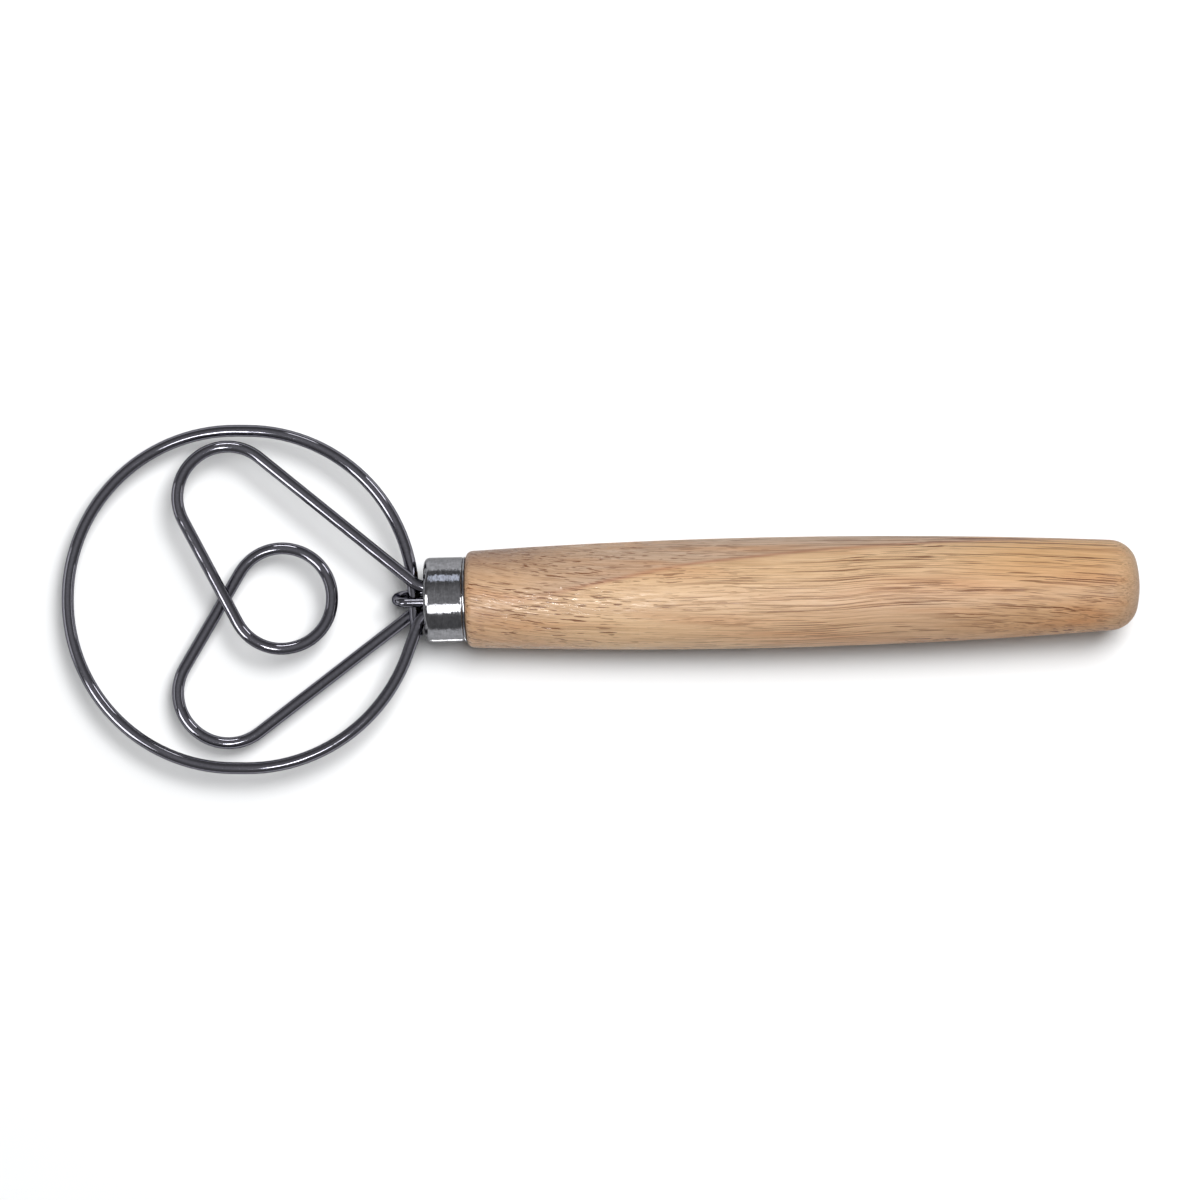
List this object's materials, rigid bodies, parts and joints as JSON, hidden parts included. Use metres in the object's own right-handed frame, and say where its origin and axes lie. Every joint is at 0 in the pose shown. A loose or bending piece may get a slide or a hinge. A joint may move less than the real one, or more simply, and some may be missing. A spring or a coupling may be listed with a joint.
{
  "type": "dough whisk",
  "caption": "Dough whisk with a round wire ring, a looped and curled inner wire, a steel ferrule and a turned wooden handle.",
  "frame": {"origin": "middle of the grip, on the handle's axis, where the handle is thickest", "axes": "+X along the handle towards its butt, the wires reach towards -X, +Y across the ring in its plane, +Z square to the ring"},
  "size_m": [0.3051, 0.099, 0.0314],
  "materials": {
    "wood": "fine-sanded pale hardwood with a thin satin oil",
    "ferrule_steel": "bright drawn steel with fine turning lines",
    "wire_steel": "polished stainless wire",
    "glue": "cured dark epoxy"
  },
  "bodies": {
    "root": {"handle": "wood", "ferrule": "ferrule_steel", "outer_ring": "wire_steel", "inner_loop": "wire_steel", "retaining_eye": "wire_steel", "glue_plug": "glue"}
  },
  "joints": []
}
